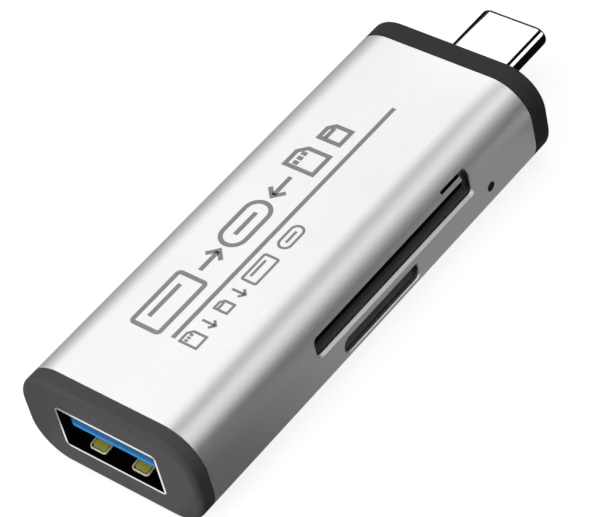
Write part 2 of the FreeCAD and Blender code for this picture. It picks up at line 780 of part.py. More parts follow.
# Black core of the plug with its slot
plug_core = new_body("plug_core")
core_half = bore_half - s.plug_core_gap
core_rise = bore_rise - s.plug_core_gap
core_rear = plug_rear - s.plug_core_tail
core_front = plug_tip - s.plug_lip
row_inner = s.board_height / 2
row_outer = row_inner + s.plug_contact_sheet
sketch = across(plug_core, core_rear)
stadium(sketch, -core_half, core_half, middle - core_rise, middle + core_rise)
box(
    sketch, -s.plug_slot_width / 2, s.plug_slot_width / 2,
    middle - row_outer, middle + row_outer,
)
pad(plug_core, sketch, core_front - core_rear)

# Two rows of plug contacts that reach back onto the board
contact_rear = board_end - s.plug_contact_tail
contact_front = plug_tip - s.plug_contact_recess
first_contact = (
    -s.plug_contact_pitch * (CONTACTS_IN_PLUG_ROW - 1) / 2 - s.plug_contact_width / 2
)
for name, bottom in (
    ("plug_upper_contacts", board_top),
    ("plug_lower_contacts", board_low - s.plug_contact_sheet),
):
    contacts = new_body(name)
    sketch = level(contacts, bottom)
    box(
        sketch, contact_rear, contact_front,
        first_contact, first_contact + s.plug_contact_width,
    )
    strip = pad(contacts, sketch, s.plug_contact_sheet)
    row_of(contacts, strip, "Y_Axis", CONTACTS_IN_PLUG_ROW, s.plug_contact_pitch)

# Two hooked latches at the ends of the plug slot
plug_latches = new_body("plug_latches")
latch_front = plug_tip - s.latch_recess
latch_rear = latch_front - s.latch_length
latch_wall = s.plug_slot_width / 2
latch_face = latch_wall - s.latch_sheet
sketch = level(plug_latches, middle - s.latch_height / 2)
for side in (-1, 1):
    outline(sketch, (
        (latch_rear, latch_wall * side),
        (latch_front, latch_wall * side),
        (latch_front - s.latch_hook, (latch_face - s.latch_hook) * side),
        (latch_front - s.latch_hook * 3, latch_face * side),
        (latch_rear, latch_face * side),
    ))
pad(plug_latches, sketch, s.latch_height)

# Large card socket on top of the board
socket_front = -wall_face + s.socket_front_gap
socket_rear = wall_face - s.socket_rear_gap
socket_start = slot_start - s.socket_side
socket_end = slot_end + s.socket_side
socket_floor = board_top + s.socket_floor
socket_roof = socket_floor + s.socket_room
socket_base = new_body("card_socket_base")
sketch = level(socket_base, board_top)
box(sketch, socket_start, socket_end, socket_front - s.socket_sill, socket_rear)
pad(socket_base, sketch, s.socket_floor)
sketch = level(socket_base, socket_floor)
outline(sketch, (
    (socket_start, socket_front),
    (slot_start, socket_front),
    (slot_start, socket_rear - s.socket_back),
    (slot_end, socket_rear - s.socket_back),
    (slot_end, socket_front),
    (socket_end, socket_front),
    (socket_end, socket_rear),
    (socket_start, socket_rear),
))
pad(socket_base, sketch, s.socket_room)

socket_cover = new_body("card_socket_cover")
cover_top = socket_roof + s.socket_sheet
sketch = along(socket_cover, socket_front)
outline(sketch, (
    (socket_start, board_top),
    (socket_start, socket_roof),
    (socket_end, socket_roof),
    (socket_end, board_top),
    (socket_end + s.socket_sheet, board_top),
    (socket_end + s.socket_sheet, cover_top),
    (socket_start - s.socket_sheet, cover_top),
    (socket_start - s.socket_sheet, board_top),
))
pad(socket_cover, sketch, socket_rear - socket_front, reverse=True)
socket_middle = (socket_start + socket_end) / 2
socket_centre = (socket_front + socket_rear) / 2
window_low = socket_centre - s.socket_window_depth / 2
window_high = socket_centre + s.socket_window_depth / 2
near_window = socket_middle - s.socket_window_gap
far_window = socket_middle + s.socket_window_gap
sketch = level(socket_cover, cover_top)
box(sketch, near_window - s.socket_window_width, near_window, window_low, window_high)
box(sketch, far_window, far_window + s.socket_window_width, window_low, window_high)
pocket(socket_cover, sketch, s.socket_sheet)

socket_contacts = new_body("card_socket_contacts")
foot = socket_rear - s.socket_back
crest = foot - s.socket_contact_crest
free_end = foot - s.socket_contact_length
sketch = across(socket_contacts, slot_start + s.socket_contact_start)
outline(sketch, (
    (foot, socket_floor),
    (foot, socket_floor + s.contact_sheet),
    (crest, socket_floor + s.contact_sheet + s.socket_contact_rise),
    (free_end, socket_floor + s.contact_sheet + s.socket_contact_rise / 2),
    (free_end, socket_floor + s.socket_contact_rise / 2),
    (crest, socket_floor + s.socket_contact_rise),
    (foot - s.contact_sheet * 2, socket_floor),
))
finger = pad(socket_contacts, sketch, s.socket_contact_width)
row_of(socket_contacts, finger, "X_Axis", CONTACTS_IN_LARGE_SOCKET, s.socket_contact_pitch)

# Small card socket under the board
small_front = -wall_face + s.small_front_gap
small_rear = small_front + s.small_depth
small_left = small_start - s.small_side
small_right = small_end + s.small_side
small_ceiling = board_low - s.small_base
small_floor = small_ceiling - s.small_room
small_base = new_body("small_socket_base")
sketch = level(small_base, small_ceiling)
box(sketch, small_left, small_right, small_front, small_rear)
pad(small_base, sketch, s.small_base)

small_cover = new_body("small_socket_cover")
cover_low = small_floor - s.socket_sheet
sketch = along(small_cover, small_front)
outline(sketch, (
    (small_left, board_low),
    (small_left, small_floor),
    (small_right, small_floor),
    (small_right, board_low),
    (small_right + s.socket_sheet, board_low),
    (small_right + s.socket_sheet, cover_low),
    (small_left - s.socket_sheet, cover_low),
    (small_left - s.socket_sheet, board_low),
))
pad(small_cover, sketch, s.small_depth, reverse=True)

# Lead-in ramp from the lower edge of the small slot up to the floor of its socket
ramp_foot = small_floor - s.small_guide_drop
ramp_low = ramp_foot - s.small_guide_foot
inside_round = s.body_corner - s.tube_wall
wall_at_foot = half_width - s.body_corner + third_side(inside_round, s.body_corner - ramp_low)
ramp_front = -wall_at_foot + s.small_guide_gap
ramp_rear = small_front + s.small_guide_reach
sketch = across(small_base, small_left)
outline(sketch, (
    (ramp_front, ramp_low),
    (ramp_rear, ramp_low),
    (ramp_rear, cover_low),
    (small_front, cover_low),
    (small_front, small_floor),
    (ramp_front, ramp_foot),
))
pad(small_base, sketch, small_right - small_left)

small_middle = (small_left + small_right) / 2
small_centre = (small_front + small_rear) / 2
sketch = level(small_cover, small_floor)
box(
    sketch, small_middle - s.small_window_width / 2, small_middle + s.small_window_width / 2,
    small_centre - s.small_window_depth / 2, small_centre + s.small_window_depth / 2,
)
pocket(small_cover, sketch, s.socket_sheet)

small_contacts = new_body("small_socket_contacts")
crest = small_rear - s.small_contact_crest
free_end = small_rear - s.small_contact_length
sketch = across(small_contacts, small_start + s.small_contact_start)
outline(sketch, (
    (small_rear, small_ceiling),
    (small_rear, small_ceiling - s.contact_sheet),
    (crest, small_ceiling - s.contact_sheet - s.small_contact_rise),
    (free_end, small_ceiling - s.contact_sheet - s.small_contact_rise / 2),
    (free_end, small_ceiling - s.small_contact_rise / 2),
    (crest, small_ceiling - s.small_contact_rise),
    (small_rear - s.contact_sheet * 2, small_ceiling),
))
finger = pad(small_contacts, sketch, s.small_contact_width)
row_of(small_contacts, finger, "X_Axis", CONTACTS_IN_SMALL_SOCKET, s.small_contact_pitch)


def under_board(name, x, y, length, width, height):
    """A plain package soldered under the board, centred at x and y."""
    package = new_body(name)
    package_sketch = level(package, board_low)
    box(package_sketch, x - length / 2, x + length / 2, y - width / 2, y + width / 2)
    feature = pad(package, package_sketch, height, reverse=True)
    return package, feature


# Packages under the board
chip_x = small_right + s.socket_sheet + s.chip_gap + s.chip_side / 2
under_board("reader_chip", chip_x, s.chip_offset, s.chip_side, s.chip_side, s.chip_height)
switch_x = small_left - s.socket_sheet - s.switch_gap
under_board(
    "power_switch", switch_x, s.chip_offset, s.switch_width, s.switch_length, s.switch_height,
)
under_board(
    "clock_crystal", chip_x, -s.crystal_offset,
    s.crystal_length, s.crystal_width, s.crystal_height,
)
lamp_y = -board_edge + s.lamp_edge + s.lamp_width / 2
under_board("activity_light", light_spot[0], lamp_y, s.lamp_length, s.lamp_width, s.lamp_height)
passive_x = board_end - s.passive_place
for name, height, place_x in (
    ("capacitors", s.capacitor_height, passive_x),
    ("resistors", s.resistor_height, passive_x + s.passive_pitch),
):
    package, feature = under_board(
        name, place_x, -s.passive_offset, s.passive_length, s.passive_width, height,
    )
    row_of(package, feature, "Y_Axis", PASSIVES_IN_ROW, s.passive_pitch)

# Smoked window pressed into the hole for the light
light_window = new_body("light_window")
sketch = along(light_window, -half_width + s.light_window_inset)
disc(sketch, light_spot, s.light_window)
pad(light_window, sketch, s.light_window_depth, reverse=True)

doc.recompute()
for item in doc.Objects:
    if "Invalid" in item.State or "Error" in item.State:
        raise RuntimeError(f"{item.Name} did not rebuild: {item.State}")

os.makedirs("parts", exist_ok=True)
for body in doc.findObjects("PartDesign::Body"):
    shape = body.Shape
    if shape.isNull() or not shape.isValid() or not shape.Solids:
        raise RuntimeError(f"{body.Name} has no sound shape")
    shape.exportStep(f"parts/{body.Name}.step")
    print(f"{body.Name}: {len(shape.Solids)} solids, {shape.Volume:.2f} mm3")
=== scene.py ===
import math
import bpy
import numpy as np
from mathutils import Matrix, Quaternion, Vector


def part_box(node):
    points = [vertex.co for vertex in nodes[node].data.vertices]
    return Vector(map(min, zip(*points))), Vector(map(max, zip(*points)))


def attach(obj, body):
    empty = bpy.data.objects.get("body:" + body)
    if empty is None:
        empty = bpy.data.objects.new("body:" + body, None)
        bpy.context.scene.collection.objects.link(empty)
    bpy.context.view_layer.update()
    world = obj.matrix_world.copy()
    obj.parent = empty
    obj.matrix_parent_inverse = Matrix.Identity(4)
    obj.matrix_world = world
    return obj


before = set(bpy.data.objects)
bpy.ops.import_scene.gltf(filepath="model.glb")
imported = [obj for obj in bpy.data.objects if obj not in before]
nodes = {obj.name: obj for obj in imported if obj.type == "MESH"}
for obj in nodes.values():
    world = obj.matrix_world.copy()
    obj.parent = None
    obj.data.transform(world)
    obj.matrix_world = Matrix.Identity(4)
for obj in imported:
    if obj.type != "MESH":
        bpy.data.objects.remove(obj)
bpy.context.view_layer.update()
mm = 0.001  # one millimetre in the frame's metres
print("frame loaded:", len(nodes), "nodes")


def grey(tone):
    return (tone, tone, tone, 1)


# Camera: the photograph's viewpoint, rolled a little clockwise
cameraView = dict(
    spot=(-138.4, -153.95, 206.98),  # mm
    target=(-4.72, -0.58, 5.8),  # mm, on the middle plane of the reader
    roll=-14.87,  # degrees
    lens=171.66,
    sensor=36.0,
    clip=(10, 10000),  # mm
)


def aimCamera(view):
    camera = bpy.data.objects.new("camera", bpy.data.cameras.new("camera"))
    bpy.context.scene.collection.objects.link(camera)
    spot = Vector(view["spot"]) * mm
    aim = Vector(view["target"]) * mm - spot
    turn = aim.to_track_quat("-Z", "Y") @ Quaternion((0, 0, 1), math.radians(view["roll"]))
    camera.rotation_mode = "QUATERNION"
    camera.rotation_quaternion = turn
    camera.location = spot
    camera.data.lens = view["lens"]
    camera.data.sensor_width = view["sensor"]
    camera.data.clip_start, camera.data.clip_end = [reach * mm for reach in view["clip"]]
    bpy.context.scene.camera = camera


aimCamera(cameraView)
bpy.context.scene.view_settings.view_transform = "Standard"
print("camera aimed")

# Studio: a pale floor under a soft dome, and a banded light tent with cards for the reflections
# The tent is lit in bands along the reader: degrees from straight up, toward +Y, and the level there
studio = dict(
    tentBands=(
        (-84, 0.05), (-64, 0.08), (-59, 1.20), (-22, 1.20), (-19, 0.12), (3, 0.12), (6, 1.15),
        (11, 1.42), (58, 1.42), (64, 0.88), (80, 0.575), (90, 0.42),
    ),
    tentReach=110,  # degrees, where the bands end on either side
    tentCrown=37.3,  # degrees, toward which the bands close in with the direction's x
    tentClose=dict(x=(0.40, 0.54), turn=(-26, 12)),  # degrees over that rise in x, either side of the crown
    dome=(0.07, 1.97),  # level at the horizon and overhead
    domePower=4.0,  # of the direction's z, by which the dome brightens
    floorSide=3000.0,  # mm
    floorDrop=0.05,  # mm below the reader's underside
    floorTone=(0.22, 0.22, 0.22, 1),
    floorGlow=0.86,  # what the camera, metal and glass see over the lit floor
    cards=(  # mm; a pair of glows is graded along x over the span
        dict(name="sideCard", x=(-90, 27), y=(-45, -7), z=(0.05, 0.05), glow=(0.13, 0.27), span=(-25, -8)),
        dict(name="farCard", x=(-90, 37), y=(-300, -45), z=(0.05, 0.05), glow=(0.02, 0.25), span=(-10, 12)),
        dict(name="gapCard", x=(27, 37), y=(-45, -20), z=(0.05, 0.05), glow=0.27),
        dict(name="backCard", x=(-90, 27), y=(11, 300), z=(0.05, 0.05), glow=0.32),
        dict(name="backEndCard", x=(27, 150), y=(25, 300), z=(0.05, 0.05), glow=0.32),
        dict(name="plugCard", x=(27, 150), y=(-20, 25), z=(0.05, 0.05), glow=0.004),
        dict(name="plugNearCard", x=(24, 27), y=(-7, 11), z=(0.05, 0.05), glow=0.004),
        dict(name="plugSideCard", x=(37, 150), y=(-80, -20), z=(0.05, 0.05), glow=0.50),
        dict(name="plugFarCard", x=(37, 150), y=(-300, -80), z=(0.05, 0.05), glow=0.004),
        dict(name="plugTopFlag", x=(34, 60), y=(-14, 13), z=(31, 31), glow=1.35),
        dict(name="plugLineFlag", x=(24.2, 80), y=(-9, -9), z=(12, 30.9), glow=0.004),
        dict(name="plugStripeFlag", x=(24.2, 80), y=(-9, -9), z=(7.6, 12), glow=1.35),
        dict(name="plugSideFlag", x=(24.2, 80), y=(-9, -9), z=(0.05, 7.6), glow=0.004),
        dict(name="plugBackFlag", x=(24.2, 80), y=(9, 9), z=(0.05, 9.6), glow=0.004),
        dict(name="plugTipFlag", x=(45, 45), y=(-20, 40), z=(0.05, 20), glow=0.05),
    ),
    fillLamp=dict(spot=(-160, -5, 50), target=(-33.7, 0, 5.8), side=80, power=0.122),  # mm, watts
)


def flatSheet(name, x, y, z):  # flat in whichever of x, y and z is one place
    if z[0] == z[1]:
        corners = [(x[0], y[0], z[0]), (x[1], y[0], z[0]), (x[1], y[1], z[0]), (x[0], y[1], z[0])]
    elif y[0] == y[1]:
        corners = [(x[0], y[0], z[0]), (x[1], y[0], z[0]), (x[1], y[0], z[1]), (x[0], y[0], z[1])]
    else:
        corners = [(x[0], y[0], z[0]), (x[0], y[1], z[0]), (x[0], y[1], z[1]), (x[0], y[0], z[1])]
    mesh = bpy.data.meshes.new(name)
    mesh.from_pydata((np.array(corners) * mm).tolist(), [], [(0, 1, 2, 3)])
    sheet = bpy.data.objects.new(name, mesh)
    bpy.context.scene.collection.objects.link(sheet)
    material = bpy.data.materials.new(name)
    material.use_nodes = True
    mesh.materials.append(material)
    return sheet, material.node_tree


def layFloor(spec):
    half = spec["floorSide"] / 2
    level = -spec["floorDrop"]
    tree = flatSheet("floor", (-half, half), (-half, half), (level, level))[1]
    shader = tree.nodes["Principled BSDF"]
    shader.inputs["Base Color"].default_value = spec["floorTone"]
    shader.inputs["Roughness"].default_value = 1.0
    shader.inputs["Specular IOR Level"].default_value = 0.0
    shader.inputs["Emission Color"].default_value = (1, 1, 1, 1)
    path = tree.nodes.new("ShaderNodeLightPath")
    seen = path.outputs["Is Camera Ray"]
    for kind in ("Is Glossy Ray", "Is Transmission Ray"):
        either = tree.nodes.new("ShaderNodeMath")
        either.operation = "MAXIMUM"
        tree.links.new(seen, either.inputs[0])
        tree.links.new(path.outputs[kind], either.inputs[1])
        seen = either.outputs[0]
    glow = tree.nodes.new("ShaderNodeMath")
    glow.operation = "MULTIPLY"
    glow.inputs[1].default_value = spec["floorGlow"]
    tree.links.new(seen, glow.inputs[0])
    tree.links.new(glow.outputs[0], shader.inputs["Emission Strength"])
    below = tree.nodes.new("ShaderNodeNewGeometry").outputs["Backfacing"]
    clear = tree.nodes.new("ShaderNodeMath")  # the floor is clear from below
    clear.operation = "SUBTRACT"
    clear.inputs[0].default_value = 1.0
    tree.links.new(below, clear.inputs[1])
    tree.links.new(clear.outputs[0], shader.inputs["Alpha"])


def setCard(spec):  # shows only in reflections, and keeps the pale floor out of them
    card, tree = flatSheet(spec["name"], spec["x"], spec["y"], spec["z"])
    shader = tree.nodes["Principled BSDF"]
    shader.inputs["Base Color"].default_value = (0, 0, 0, 1)
    shader.inputs["Specular IOR Level"].default_value = 0.0
    shader.inputs["Emission Color"].default_value = (1, 1, 1, 1)
    if "span" in spec:
        place = tree.nodes.new("ShaderNodeSeparateXYZ")
        tree.links.new(tree.nodes.new("ShaderNodeTexCoord").outputs["Object"], place.inputs[0])
        grade = tree.nodes.new("ShaderNodeMapRange")
        grade.inputs["From Min"].default_value = spec["span"][0] * mm
        grade.inputs["From Max"].default_value = spec["span"][1] * mm
        grade.inputs["To Min"].default_value = spec["glow"][0]
        grade.inputs["To Max"].default_value = spec["glow"][1]
        tree.links.new(place.outputs["X"], grade.inputs["Value"])
        tree.links.new(grade.outputs["Result"], shader.inputs["Emission Strength"])
    else:
        shader.inputs["Emission Strength"].default_value = spec["glow"]
    card.visible_camera = False
    card.visible_diffuse = False
    card.visible_shadow = False
    card.visible_transmission = False


def setLamp(spec):  # a soft fill on the front end, kept out of reflections
    light = bpy.data.lights.new("fillLamp", "AREA")
    light.energy = spec["power"]
    light.size = spec["side"] * mm
    lamp = bpy.data.objects.new("fillLamp", light)
    bpy.context.scene.collection.objects.link(lamp)
    lamp.location = Vector(spec["spot"]) * mm
    aim = (Vector(spec["target"]) - Vector(spec["spot"])) * mm
    lamp.rotation_mode = "QUATERNION"
    lamp.rotation_quaternion = aim.to_track_quat("-Z", "Y")
    lamp.visible_glossy = False


def tentColour(tree, parts, spec):  # the banded tent, by the tilt of the direction about x
    add, link = tree.nodes.new, tree.links.new
    tilt = add("ShaderNodeMath")
    tilt.operation = "ARCTAN2"
    link(parts["Y"], tilt.inputs[0])
    link(parts["Z"], tilt.inputs[1])
    side = add("ShaderNodeMath")
    side.operation = "GREATER_THAN"
    side.inputs[1].default_value = math.radians(spec["tentCrown"])
    link(tilt.outputs[0], side.inputs[0])
    turn = add("ShaderNodeMapRange")
    turn.inputs["To Min"].default_value = math.radians(spec["tentClose"]["turn"][0])
    turn.inputs["To Max"].default_value = math.radians(spec["tentClose"]["turn"][1])
    link(side.outputs[0], turn.inputs["Value"])
    close = add("ShaderNodeMapRange")
    close.inputs["From Min"].default_value = spec["tentClose"]["x"][0]
    close.inputs["From Max"].default_value = spec["tentClose"]["x"][1]
    link(parts["X"], close.inputs["Value"])
    shifted = add("ShaderNodeMath")
    shifted.operation = "MULTIPLY_ADD"
    link(turn.outputs["Result"], shifted.inputs[0])
    link(close.outputs["Result"], shifted.inputs[1])
    link(tilt.outputs[0], shifted.inputs[2])
    reach = math.radians(spec["tentReach"])
    share = add("ShaderNodeMapRange")
    share.inputs["From Min"].default_value = -reach
    share.inputs["From Max"].default_value = reach
    link(shifted.outputs[0], share.inputs["Value"])
    ramp = add("ShaderNodeValToRGB")
    stops = ramp.color_ramp.elements
    while len(stops) < len(spec["tentBands"]):
        stops.new(0.5)
    for stop, (degrees, level) in zip(stops, spec["tentBands"]):
        stop.position = 0.5 + degrees / (2 * spec["tentReach"])
        stop.color = grey(level)
    link(share.outputs["Result"], ramp.inputs["Fac"])
    return ramp.outputs["Color"]


def domeLevel(tree, parts, spec):  # brightens overhead with a power of the direction's z
    rise = tree.nodes.new("ShaderNodeMath")
    rise.operation = "POWER"
    rise.inputs[1].default_value = spec["domePower"]
    tree.links.new(parts["Z"], rise.inputs[0])
    level = tree.nodes.new("ShaderNodeMapRange")
    level.inputs["To Min"].default_value = spec["dome"][0]
    level.inputs["To Max"].default_value = spec["dome"][1]
    tree.links.new(rise.outputs[0], level.inputs["Value"])
    return level.outputs["Result"]


def hangTent(spec):  # the dome lights, the tent shows in reflections, the camera sees white
    world = bpy.data.worlds.new("lightTent")
    world.use_nodes = True
    world.cycles.sampling_method = "NONE"
    tree = world.node_tree
    parts = tree.nodes.new("ShaderNodeSeparateXYZ")
    tree.links.new(tree.nodes.new("ShaderNodeTexCoord").outputs["Generated"], parts.inputs[0])
    path = tree.nodes.new("ShaderNodeLightPath")
    colour = domeLevel(tree, parts.outputs, spec)
    layers = (
        ("Is Glossy Ray", tentColour(tree, parts.outputs, spec)),
        ("Is Camera Ray", (1, 1, 1, 1)),
        ("Is Transmission Ray", (1, 1, 1, 1)),
    )
    for kind, layer in layers:
        mix = tree.nodes.new("ShaderNodeMix")
        mix.data_type = "RGBA"
        tree.links.new(path.outputs[kind], mix.inputs["Factor"])
        tree.links.new(colour, mix.inputs["A"])
        if isinstance(layer, tuple):
            mix.inputs["B"].default_value = layer
        else:
            tree.links.new(layer, mix.inputs["B"])
        colour = mix.outputs["Result"]
    tree.links.new(colour, tree.nodes["Background"].inputs["Color"])
    bpy.context.scene.world = world


layFloor(studio)
for card in studio["cards"]:
    setCard(card)
setLamp(studio["fillLamp"])
hangTent(studio)
print("studio set")


# Node groups shared by several finishes
groupSpec = dict(
    grainPeaks=(0.35, 0.65),  # of the noise, over which its peaks show in the mask
    driftSpread=(0.3, 0.7),  # of the noise, over which the first tone turns to the second
    driftDetail=3.0,
    bevelSamples=6,
)


def newGroup(name, inputs, outputs):
    group = bpy.data.node_groups.new(name, "ShaderNodeTree")
    for kind, label, value in inputs:
        socket = group.interface.new_socket(name=label, in_out="INPUT", socket_type=kind)
        if value is not None:
            socket.default_value = value
    for kind, label in outputs:
        group.interface.new_socket(name=label, in_out="OUTPUT", socket_type=kind)
    entry = group.nodes.new("NodeGroupInput")
    result = group.nodes.new("NodeGroupOutput")
    return group, entry.outputs, result.inputs


def makeGrain():  # noise stretched by Stretch, a height about 0.5 and a mask from its peaks
    group, given, result = newGroup(
        "surfaceGrain",
        [
            ("NodeSocketVector", "Vector", None),
            ("NodeSocketVector", "Stretch", (1, 1, 1)),
            ("NodeSocketFloat", "Scale", 4000.0),
            ("NodeSocketFloat", "Detail", 2.0),
        ],
        [("NodeSocketFloat", "Height"), ("NodeSocketFloat", "Mask")],
    )
    add, link = group.nodes.new, group.links.new
    scaled = add("ShaderNodeVectorMath")
    scaled.operation = "MULTIPLY"
    link(given["Vector"], scaled.inputs[0])
    link(given["Stretch"], scaled.inputs[1])
    noise = add("ShaderNodeTexNoise")
    link(scaled.outputs[0], noise.inputs["Vector"])
    link(given["Scale"], noise.inputs["Scale"])
    link(given["Detail"], noise.inputs["Detail"])
    peaks = add("ShaderNodeMapRange")
    peaks.inputs["From Min"].default_value = groupSpec["grainPeaks"][0]
    peaks.inputs["From Max"].default_value = groupSpec["grainPeaks"][1]
    link(noise.outputs["Fac"], peaks.inputs["Value"])
    link(noise.outputs["Fac"], result["Height"])
    link(peaks.outputs["Result"], result["Mask"])
    return group


def makeDrift():  # a slow blend of two tones over the surface
    group, given, result = newGroup(
        "toneDrift",
        [
            ("NodeSocketVector", "Vector", None),
            ("NodeSocketVector", "Stretch", (1, 1, 1)),
            ("NodeSocketFloat", "Scale", 60.0),
            ("NodeSocketColor", "First", (0.5, 0.5, 0.5, 1)),
            ("NodeSocketColor", "Second", (0.6, 0.6, 0.6, 1)),
        ],
        [("NodeSocketColor", "Color")],
    )
    add, link = group.nodes.new, group.links.new
    scaled = add("ShaderNodeVectorMath")
    scaled.operation = "MULTIPLY"
    link(given["Vector"], scaled.inputs[0])
    link(given["Stretch"], scaled.inputs[1])
    noise = add("ShaderNodeTexNoise")
    noise.inputs["Detail"].default_value = groupSpec["driftDetail"]
    link(scaled.outputs[0], noise.inputs["Vector"])
    link(given["Scale"], noise.inputs["Scale"])
    spread = add("ShaderNodeMapRange")
    spread.inputs["From Min"].default_value = groupSpec["driftSpread"][0]
    spread.inputs["From Max"].default_value = groupSpec["driftSpread"][1]
    link(noise.outputs["Fac"], spread.inputs["Value"])
    blend = add("ShaderNodeMix")
    blend.data_type = "RGBA"
    link(spread.outputs["Result"], blend.inputs["Factor"])
    link(given["First"], blend.inputs["A"])
    link(given["Second"], blend.inputs["B"])
    link(blend.outputs["Result"], result["Color"])
    return group


def makeSoftEdge():  # rounds the shading over sharp edges
    group, given, result = newGroup(
        "softEdge", [("NodeSocketFloat", "Radius", 0.0001)], [("NodeSocketVector", "Normal")],
    )
    bevel = group.nodes.new("ShaderNodeBevel")
    bevel.samples = groupSpec["bevelSamples"]
    group.links.new(given["Radius"], bevel.inputs["Radius"])
    group.links.new(bevel.outputs["Normal"], result["Normal"])
    return group


grainGroup = makeGrain()
driftGroup = makeDrift()
edgeGroup = makeSoftEdge()


class Finish:  # one Principled material and the few links that its finish needs
    def __init__(self, name, **constants):
        self.material = bpy.data.materials.new(name)
        self.material.use_nodes = True
        self.tree = self.material.node_tree
        self.shader = self.tree.nodes["Principled BSDF"]
        self.coords = self.tree.nodes.new("ShaderNodeTexCoord").outputs["Object"]
        for label, value in constants.items():
            self.shader.inputs[label.replace("_", " ")].default_value = value

    def add(self, kind):
        return self.tree.nodes.new(kind)

    def link(self, source, target):
        self.tree.links.new(source, target)

    def group(self, tree, **values):
        node = self.add("ShaderNodeGroup")
        node.node_tree = tree
        if "Vector" in node.inputs:
            self.link(self.coords, node.inputs["Vector"])
        for label, value in values.items():
            node.inputs[label].default_value = value
        return node.outputs

    def span(self, source, low, high):  # a 0 to 1 value spread between two numbers
        node = self.add("ShaderNodeMapRange")
        node.inputs["To Min"].default_value = low
        node.inputs["To Max"].default_value = high
        self.link(source, node.inputs["Value"])
        return node.outputs["Result"]

    def bump(self, height, distance, strength=1.0, normal=None):
        node = self.add("ShaderNodeBump")
        node.inputs["Distance"].default_value = distance
        node.inputs["Strength"].default_value = strength
        self.link(height, node.inputs["Height"])
        if normal is not None:
            self.link(normal, node.inputs["Normal"])
        return node.outputs["Normal"]

    def mix(self, mask, first, second):  # colours may be sockets or plain colours
        node = self.add("ShaderNodeMix")
        node.data_type = "RGBA"
        self.link(mask, node.inputs["Factor"])
        for label, colour in (("A", first), ("B", second)):
            if isinstance(colour, tuple):
                node.inputs[label].default_value = colour
            else:
                self.link(colour, node.inputs[label])
        return node.outputs["Result"]

    def blend(self, mask, first, second):  # one number or socket to another
        node = self.add("ShaderNodeMix")
        self.link(mask, node.inputs["Factor"])
        for label, value in (("A", first), ("B", second)):
            if isinstance(value, float):
                node.inputs[label].default_value = value
            else:
                self.link(value, node.inputs[label])
        return node.outputs["Result"]

    def math(self, operation, first, second):
        node = self.add("ShaderNodeMath")
        node.operation = operation
        self.link(first, node.inputs[0])
        self.link(second, node.inputs[1])
        return node.outputs[0]

    def boxMask(self, **ranges):  # 1 where the Object coordinates lie in the ranges, in mm
        place = self.add("ShaderNodeSeparateXYZ")
        self.link(self.coords, place.inputs[0])
        mask = None
        for axis, (low, high) in ranges.items():
            inside = self.add("ShaderNodeMath")
            inside.operation = "COMPARE"
            inside.inputs[1].default_value = (low + high) / 2 * mm
            inside.inputs[2].default_value = (high - low) / 2 * mm
            self.link(place.outputs[axis], inside.inputs[0])
            mask = inside.outputs[0] if mask is None else self.math("MULTIPLY", mask, inside.outputs[0])
        return mask

    def slope(self, axis, low, high):  # 0 to 1 along one Object coordinate, in mm
        place = self.add("ShaderNodeSeparateXYZ")
        self.link(self.coords, place.inputs[0])
        node = self.add("ShaderNodeMapRange")
        node.inputs["From Min"].default_value = low * mm
        node.inputs["From Max"].default_value = high * mm
        self.link(place.outputs[axis], node.inputs["Value"])
        return node.outputs["Result"]

    def feed(self, **sources):
        for label, source in sources.items():
            self.link(source, self.shader.inputs[label.replace("_", " ")])

    def dress(self, *names):
        for name in names:
            mesh = nodes[name].data
            mesh.materials.clear()
            mesh.materials.append(self.material)


# Satin anodised tube
tubeFinish = dict(
    dark=0.77, light=0.83, roughness=(0.35, 0.43), grain=9000.0, grainDepth=0.0000015,
    drift=45.0, stretch=(0.5, 1, 1), grainDetail=1.0, edge=0.08,  # the edge in mm
    slitShade=dict(X=(6.69, 9.75), Y=(-12, -5), Z=(9.32, 9.64)),  # mm, the slit beside the large slot, which gets painted shade
    # painted shade: a near-black tone laid into the slit, dark as if unlit
    slitShadeTone=0.008,
    lip=dict(X=(-15.2, 11.1), Y=(-11.17, -5), Z=(6.0, 6.46)),  # mm, the cut lip under the large slot
    lipTone=0.60,
)


def satinTube(spec):
    finish = Finish("satinTube", Metallic=1.0)
    drift = finish.group(
        driftGroup, Scale=spec["drift"], Stretch=spec["stretch"],
        First=grey(spec["dark"]), Second=grey(spec["light"]),
    )
    grain = finish.group(grainGroup, Scale=spec["grain"], Detail=spec["grainDetail"])
    edge = finish.group(edgeGroup, Radius=spec["edge"] * mm)
    colour = drift["Color"]
    # the slit gets its painted shade, the cut lip a darker tone
    for cut in ("slitShade", "lip"):
        colour = finish.mix(finish.boxMask(**spec[cut]), colour, grey(spec[cut + "Tone"]))
    finish.feed(
        Base_Color=colour,
        Roughness=finish.span(grain["Mask"], *spec["roughness"]),
        Normal=finish.bump(grain["Height"], spec["grainDepth"], normal=edge["Normal"]),
    )
    finish.dress("shell_tube")


satinTube(tubeFinish)

# Dark grey satin end caps, the rear one a darker tone
capFinishes = (
    dict(name="frontCapGrey", tone=(0.068, 0.077), gloss=0.1, nodes=("front_end_cap",)),
    dict(name="rearCapGrey", tone=(0.036, 0.042), gloss=0.1, nodes=("rear_end_cap",)),
)
capSurface = dict(  # the edge in mm
    roughness=(0.52, 0.62), drift=120.0, grain=6000.0, grainDepth=0.000003, edge=0.08,
)


def satinCap(spec, surface):
    finish = Finish(spec["name"], Specular_IOR_Level=spec["gloss"])
    low, high = spec["tone"]
    drift = finish.group(driftGroup, Scale=surface["drift"], First=grey(low), Second=grey(high))
    grain = finish.group(grainGroup, Scale=surface["grain"])
    edge = finish.group(edgeGroup, Radius=surface["edge"] * mm)
    finish.feed(
        Base_Color=drift["Color"],
        Roughness=finish.span(grain["Mask"], *surface["roughness"]),
        Normal=finish.bump(grain["Height"], surface["grainDepth"], normal=edge["Normal"]),
    )
    finish.dress(*spec["nodes"])


for cap in capFinishes:
    satinCap(cap, capSurface)

